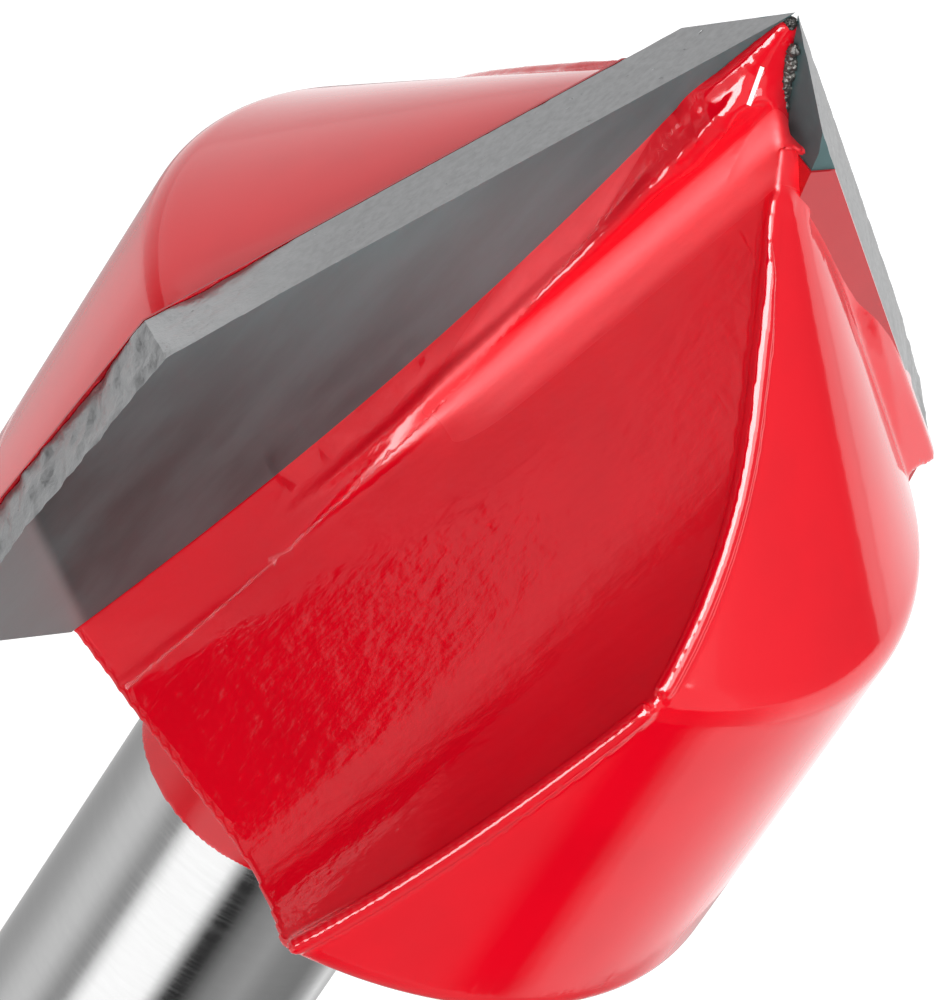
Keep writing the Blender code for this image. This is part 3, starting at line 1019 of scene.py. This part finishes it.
class ROUTERBIT_OT_braze_seams(bpy.types.Operator):
    """Finish the braze films that hold the plates, in enamel darkened as painted shade"""

    bl_idname = "routerbit.braze_seams"
    bl_label = "Braze seams"

    def execute(self, context):
        finish = braze_finish()
        # Painted shade: the braze films in the seams wear the enamel darkened to 0.6 of its colour.
        painted_shade_enamel = enamel_finish(context.scene.routerbit_enamel, "braze_in_painted_shade", 0.6)
        for side in SIDES:
            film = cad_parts[f"braze_film_{side}"]
            for slot in film.material_slots:
                slot.material = painted_shade_enamel
            residue = braze_residue(side)
            residue.data.materials.append(finish)
            seat_piece(residue, "braze_alloy")
        return {"FINISHED"}


def from_angles(azimuth, elevation):
    """The direction at this azimuth from +X and this height over the horizon."""
    flat = math.cos(elevation)
    return Vector((math.cos(azimuth) * flat, math.sin(azimuth) * flat, math.sin(elevation)))


def facing(place, aim=AIM):
    """The matrix of something at this place that faces what it is aimed at."""
    return Matrix.Translation(place) @ looking(aim - place)


def add_camera():
    camera = bpy.data.objects.new("camera", bpy.data.cameras.new("camera"))
    bpy.context.scene.collection.objects.link(camera)
    bpy.context.scene.camera = camera
    camera.data.sensor_fit = "HORIZONTAL"
    camera.data.sensor_width = SENSOR_WIDTH
    camera.data.lens = CAMERA_LENS
    camera.data.clip_start = 5 * MM
    turn = looking(-from_angles(CAMERA_AZIMUTH, CAMERA_ELEVATION))
    camera.matrix_world = Matrix.Translation(CAMERA_PLACE) @ turn @ Matrix.Rotation(CAMERA_ROLL, 4, "Z")


def add_lamp(name, azimuth, elevation, distance, width, height, radiance, gloss=True):
    """A soft lamp whose face has this brightness, where 1 is white."""
    lamp = bpy.data.lights.new(name, "AREA")
    lamp.shape = "RECTANGLE"
    lamp.size = width
    lamp.size_y = height
    lamp.energy = radiance * math.pi * width * height
    obj = bpy.data.objects.new(name, lamp)
    bpy.context.scene.collection.objects.link(obj)
    direction = from_angles(math.radians(azimuth), math.radians(elevation))
    obj.matrix_world = facing(AIM + direction * distance)
    obj.visible_glossy = gloss


def background_rays(finish):
    """1 where the camera, a gloss or a clear surface looks straight at the background."""
    path = finish.node("ShaderNodeLightPath")
    seen = path.named("Is Camera Ray") + path.named("Is Glossy Ray")
    return (seen + path.named("Is Transmission Ray")).between(0.0, 1.0)


def only_in_gloss(card):
    """Only gloss sees the card: it casts no light or shadow."""
    card.visible_camera = False
    card.visible_diffuse = False
    card.visible_shadow = False


def brightness_ramp(finish, factor, stops):
    """A brightness that runs through these (place, brightness) stops."""
    brightest = max(value for _, value in stops)
    greys = [(place, (value / brightest,) * 3) for place, value in stops]
    return finish.node("ShaderNodeValToRGB", {"stops": greys}, {0: factor}) * brightest


def add_card(name, azimuth, low, high, distance, width, across, up, roll=0.0):
    """A studio card between two heights over the horizon, with its brightness across and up it."""
    finish = new_finish(name)
    side, rise, _ = finish.axes(finish.node("ShaderNodeTexCoord").named("UV"))
    strength = brightness_ramp(finish, side, across) * brightness_ramp(finish, rise, up)
    card = primitive(name, bpy.ops.mesh.primitive_plane_add, size=1.0)
    card.data.materials.append(finish.done(finish.glow(strength)))
    foot = distance * math.tan(math.radians(low))
    tall = distance * math.tan(math.radians(high)) - foot
    place = AIM + from_angles(math.radians(azimuth), 0.0) * distance
    place.z += foot + tall / 2
    level = Vector((AIM.x, AIM.y, place.z))
    turned = facing(place, level) @ Matrix.Rotation(math.radians(roll), 4, "Z")
    card.matrix_world = turned @ Matrix.Diagonal((width, tall, 1.0, 1.0))
    only_in_gloss(card)


def add_floor_ring(name, inner, outer, stops):
    """A ring on the floor round the bit, whose brightness changes with the direction in degrees."""
    finish = new_finish(name)
    place = finish.node("ShaderNodeTexCoord").named("Object")
    turn = finish.node("ShaderNodeTexGradient", {"gradient_type": "RADIAL"}, {0: place})
    stops = [((angle + 180) / 360, value) for angle, value in stops]
    disc = {"vertices": 64, "radius": outer, "fill_type": "NGON"}
    ring = primitive(name, bpy.ops.mesh.primitive_circle_add, **disc)
    with editing():
        bpy.ops.mesh.inset(thickness=outer - inner)
        bpy.ops.mesh.delete(type="FACE")
    ring.location.z = RING_HEIGHT
    ring.data.materials.append(finish.done(finish.glow(brightness_ramp(finish, turn, stops))))
    only_in_gloss(ring)


def add_floor(look):
    """The pale floor, which the camera and gloss see lighter than it is."""
    finish = new_finish("studio_floor")
    plain = finish.node("ShaderNodeBsdfDiffuse", None, {"Color": colour(look.floor_colour)})
    white = finish.node("ShaderNodeAddShader", None, {0: plain, 1: finish.glow(FLOOR_GLOW)})
    rays = background_rays(finish)
    floor = primitive("studio_floor", bpy.ops.mesh.primitive_plane_add, size=FLOOR_SIZE)
    shader = finish.node("ShaderNodeMixShader", None, {0: rays, 1: plain, 2: white})
    floor.data.materials.append(finish.done(shader))


def set_world(look):
    """A world that is white as a background and dimmer where it lights the object."""
    world = bpy.data.worlds.new("studio")
    bpy.context.scene.world = world
    finish = Finish(world)
    white = finish.node("ShaderNodeBackground", None, {"Color": WHITE, "Strength": 1.0})
    dim = finish.node("ShaderNodeBackground", None, {"Color": WHITE, "Strength": look.sky_strength})
    shader = finish.node("ShaderNodeMixShader", None, {0: background_rays(finish), 1: dim, 2: white})
    finish.done(shader, output="ShaderNodeOutputWorld")


def add_lamps(look):
    """The lamps, by their angles in degrees from the head, and their distance and size in metres."""
    add_lamp(
        "key_lamp",
        azimuth=92.0, elevation=47.0, distance=0.3, width=0.3, height=0.14,
        radiance=look.key_strength,
    )
    add_lamp(
        "fill_lamp",
        azimuth=-85.0, elevation=14.0, distance=0.35, width=0.3, height=0.2,
        radiance=look.fill_strength, gloss=False,
    )
    add_lamp(
        "low_lamp",
        azimuth=23.0, elevation=-13.0, distance=0.17, width=0.1, height=0.03,
        radiance=look.low_strength, gloss=False,
    )


def add_cards():
    """The cards, by the degrees between which each stands, and their distance and width in metres."""
    add_card(
        "front_card",
        azimuth=-20.0, low=-8.0, high=40.0, roll=-17.0, distance=0.26, width=0.34,
        across=FRONT_ACROSS, up=FRONT_UP,
    )
    add_card(
        "back_card",
        azimuth=154.0, low=1.0, high=38.0, distance=0.3, width=0.26,
        across=BACK_ACROSS, up=EVEN,
    )
    add_card(
        "side_card",
        azimuth=-88.0, low=-4.0, high=42.0, distance=0.35, width=0.5,
        across=SIDE_ACROSS, up=SIDE_UP,
    )
    add_card(
        "low_card",
        azimuth=27.0, low=-18.0, high=-2.0, distance=0.12, width=0.06,
        across=LOW_ACROSS, up=EVEN,
    )
    add_card(
        "eye_card",
        azimuth=41.0, low=8.0, high=60.0, distance=0.2, width=0.26,
        across=EYE_ACROSS, up=EVEN,
    )


class ROUTERBIT_OT_stage(bpy.types.Operator):
    """Set the pale floor, the soft lamps, the studio cards and the camera"""

    bl_idname = "routerbit.stage"
    bl_label = "Stage"

    def execute(self, context):
        look = context.scene.routerbit_stage
        add_floor(look)
        set_world(look)
        add_lamps(look)
        add_cards()
        add_floor_ring("inner_ring", inner=9 * MM, outer=51 * MM, stops=INNER_RING)
        add_floor_ring("outer_ring", inner=51.5 * MM, outer=90 * MM, stops=OUTER_RING)
        add_floor_ring("far_ring", inner=90.5 * MM, outer=1500 * MM, stops=FAR_RING)
        add_camera()
        context.scene.view_settings.view_transform = "Standard"
        return {"FINISHED"}


OPERATORS = (
    ROUTERBIT_OT_enamel_head,
    ROUTERBIT_OT_ground_shank,
    ROUTERBIT_OT_carbide_plates,
    ROUTERBIT_OT_braze_seams,
    ROUTERBIT_OT_stage,
)
LOOKS = {
    "routerbit_enamel": EnamelLook,
    "routerbit_steel": SteelLook,
    "routerbit_carbide": CarbideLook,
    "routerbit_stage": StageLook,
}


class ROUTERBIT_PT_panel(bpy.types.Panel):
    """Sizes, colours and steps of the router bit"""

    bl_idname = "ROUTERBIT_PT_panel"
    bl_label = "Router Bit"
    bl_space_type = "VIEW_3D"
    bl_region_type = "UI"
    bl_category = "Router Bit"

    def draw(self, context):
        for name, group in LOOKS.items():
            box = self.layout.box()
            for prop in group.__annotations__:
                box.prop(getattr(context.scene, name), prop)
        for operator in OPERATORS:
            self.layout.operator(operator.bl_idname)


def register():
    for group in LOOKS.values():
        bpy.utils.register_class(group)
    for name, group in LOOKS.items():
        setattr(bpy.types.Scene, name, PointerProperty(type=group))
    for operator in OPERATORS:
        bpy.utils.register_class(operator)
    bpy.utils.register_class(ROUTERBIT_PT_panel)


def unregister():
    bpy.utils.unregister_class(ROUTERBIT_PT_panel)
    for operator in reversed(OPERATORS):
        bpy.utils.unregister_class(operator)
    for name in LOOKS:
        delattr(bpy.types.Scene, name)
    for group in reversed(LOOKS.values()):
        bpy.utils.unregister_class(group)


def main():
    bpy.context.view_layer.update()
    register()
    bpy.ops.routerbit.enamel_head()
    bpy.ops.routerbit.ground_shank()
    bpy.ops.routerbit.carbide_plates()
    bpy.ops.routerbit.braze_seams()
    bpy.ops.routerbit.stage()


if __name__ == "__main__":
    main()
